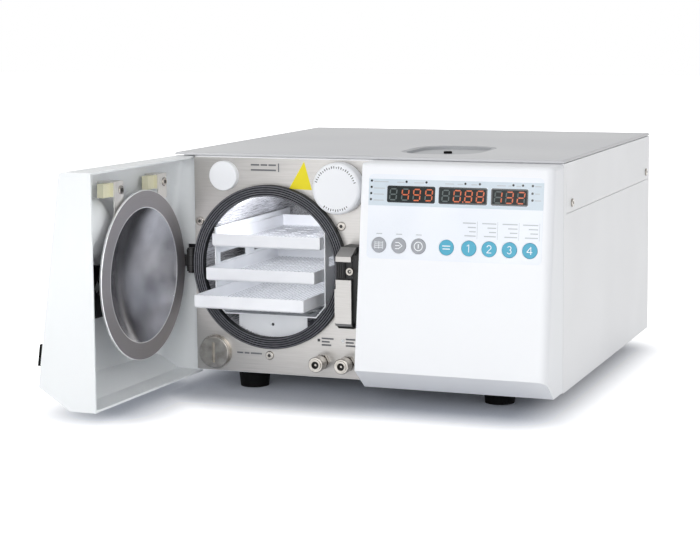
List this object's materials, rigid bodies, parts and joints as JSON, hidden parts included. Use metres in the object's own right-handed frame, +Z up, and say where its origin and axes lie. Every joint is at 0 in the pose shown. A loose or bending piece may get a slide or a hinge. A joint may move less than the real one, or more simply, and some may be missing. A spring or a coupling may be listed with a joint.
{
  "type": "autoclave",
  "caption": "Bench steam steriliser with a swing door, round chamber, sliding trays, keypad cover and drain couplings.",
  "frame": {"origin": "centre of the bounding box with the door open, on the bench under the feet", "axes": "+Z up, -Y out of the front where the chamber opens, +X to the keypad side"},
  "size_m": [0.5312, 0.6864, 0.282],
  "materials": {
    "aluminium": "anodised, satin",
    "black_rubber": "matt",
    "black_steel": "black, satin",
    "blue_key": "matt",
    "bright_metal": "bright nickel",
    "cream_plastic": "matt",
    "display_window": "smoked, clear",
    "green_board": "lacquered",
    "grey_key": "matt",
    "overlay_film": "embossed film",
    "polished_steel": "polished",
    "silicone": "matt",
    "steel": "brushed",
    "tank_plastic": "natural",
    "white_paint": "fine textured powder coat",
    "white_plastic": "moulded, satin"
  },
  "bodies": {
    "cabinet": {"base_pan": "steel", "blanking_cap": "white_plastic", "control_cover": "white_plastic", "coupling_left": "bright_metal", "coupling_right": "bright_metal", "display_left": "display_window", "display_middle": "display_window", "display_right": "display_window", "door_gasket": "silicone", "drain_housing": "bright_metal", "feet": "black_rubber", "filler_dish": "white_plastic", "filter_housing": "white_plastic", "front_panel": "steel", "hinge_bracket": "black_steel", "hinge_pin": "polished_steel", "hood": "white_paint", "hood_screws": "bright_metal", "key_board": "green_board", "keypad_overlay": "overlay_film", "latch_block": "black_steel", "latch_clamp": "steel", "latch_cover": "steel", "latch_frame": "black_steel", "panel_screws": "bright_metal", "power_inlet": "black_steel", "pressure_vessel": "polished_steel", "rear_panel": "white_paint", "side_panel_left": "white_paint", "side_panel_right": "white_paint", "top_lid": "white_plastic", "tray_rack": "aluminium", "water_tank": "tank_plastic"},
    "door": {"door_shell": "white_plastic", "door_plate": "polished_steel", "plate_boss": "steel", "door_yoke": "black_steel", "strap_screws": "bright_metal", "pull_strip": "black_rubber", "strap_outer": "steel", "strap_inner": "steel", "guide_outer": "cream_plastic", "guide_inner": "cream_plastic"},
    "lock_bolt_body": {"lock_bolt": "polished_steel"},
    "filter_cap_body": {"filter_cap": "white_plastic"},
    "drain_plug_body": {"drain_plug": "bright_metal"},
    "collar_left_body": {"collar_left": "bright_metal"},
    "collar_right_body": {"collar_right": "bright_metal"},
    "filler_plug_body": {"filler_plug": "black_rubber"},
    "tray_top_body": {"tray_top": "aluminium"},
    "tray_middle_body": {"tray_middle": "aluminium"},
    "tray_bottom_body": {"tray_bottom": "aluminium"},
    "key_1_body": {"key_1": "grey_key"},
    "key_2_body": {"key_2": "grey_key"},
    "key_3_body": {"key_3": "grey_key"},
    "key_4_body": {"key_4": "blue_key"},
    "key_5_body": {"key_5": "blue_key"},
    "key_6_body": {"key_6": "blue_key"},
    "key_7_body": {"key_7": "blue_key"},
    "key_8_body": {"key_8": "blue_key"}
  },
  "joints": [
    {"name": "door_hinge", "type": "hinge", "parent": "cabinet", "child": "door", "pos_m": [-0.18913, -0.11152, 0.1535], "axis": [0, 0, 1], "range_deg": [0, 92]},
    {"name": "tray_top_slide", "type": "slide", "parent": "cabinet", "child": "tray_top_body", "axis": [0, 1, 0], "range_m": [0, 0.021]},
    {"name": "tray_middle_slide", "type": "slide", "parent": "cabinet", "child": "tray_middle_body", "axis": [0, 1, 0], "range_m": [0, 0.039]},
    {"name": "tray_bottom_slide", "type": "slide", "parent": "cabinet", "child": "tray_bottom_body", "axis": [0, 1, 0], "range_m": [0, 0.072]},
    {"name": "lock_bolt_slide", "type": "slide", "parent": "cabinet", "child": "lock_bolt_body", "axis": [0, -1, 0], "range_m": [0, 0.009]},
    {"name": "filter_cap_turn", "type": "hinge", "parent": "cabinet", "child": "filter_cap_body", "pos_m": [0.00136, -0.11701, 0.245], "axis": [0, -1, 0], "continuous": true},
    {"name": "drain_plug_turn", "type": "hinge", "parent": "cabinet", "child": "drain_plug_body", "pos_m": [-0.15943, -0.11202, 0.045], "axis": [0, -1, 0], "continuous": true},
    {"name": "collar_left_slide", "type": "slide", "parent": "cabinet", "child": "collar_left_body", "axis": [0, 1, 0], "range_m": [0, 0.003], "stiffness_N_per_m": 400},
    {"name": "collar_right_slide", "type": "slide", "parent": "cabinet", "child": "collar_right_body", "axis": [0, 1, 0], "range_m": [0, 0.003], "stiffness_N_per_m": 400},
    {"name": "filler_plug_lift", "type": "slide", "parent": "cabinet", "child": "filler_plug_body", "axis": [0, 0, 1], "range_m": [0, 0.012]},
    {"name": "key_1_press", "type": "slide", "parent": "cabinet", "child": "key_1_body", "axis": [0, 0.9912, -0.1327], "range_m": [0, 0.0008], "stiffness_N_per_m": 900},
    {"name": "key_2_press", "type": "slide", "parent": "cabinet", "child": "key_2_body", "axis": [0, 0.9912, -0.1327], "range_m": [0, 0.0008], "stiffness_N_per_m": 900},
    {"name": "key_3_press", "type": "slide", "parent": "cabinet", "child": "key_3_body", "axis": [0, 0.9912, -0.1327], "range_m": [0, 0.0008], "stiffness_N_per_m": 900},
    {"name": "key_4_press", "type": "slide", "parent": "cabinet", "child": "key_4_body", "axis": [0, 0.9912, -0.1327], "range_m": [0, 0.0008], "stiffness_N_per_m": 900},
    {"name": "key_5_press", "type": "slide", "parent": "cabinet", "child": "key_5_body", "axis": [0, 0.9912, -0.1327], "range_m": [0, 0.0008], "stiffness_N_per_m": 900},
    {"name": "key_6_press", "type": "slide", "parent": "cabinet", "child": "key_6_body", "axis": [0, 0.9912, -0.1327], "range_m": [0, 0.0008], "stiffness_N_per_m": 900},
    {"name": "key_7_press", "type": "slide", "parent": "cabinet", "child": "key_7_body", "axis": [0, 0.9912, -0.1327], "range_m": [0, 0.0008], "stiffness_N_per_m": 900},
    {"name": "key_8_press", "type": "slide", "parent": "cabinet", "child": "key_8_body", "axis": [0, 0.9912, -0.1327], "range_m": [0, 0.0008], "stiffness_N_per_m": 900}
  ],
  "couplings": [
    {"joint": "tray_top_slide", "follows": "door_hinge", "m_per_rad": 0.01307},
    {"joint": "tray_middle_slide", "follows": "door_hinge", "m_per_rad": 0.02428},
    {"joint": "tray_bottom_slide", "follows": "door_hinge", "m_per_rad": 0.04484}
  ]
}
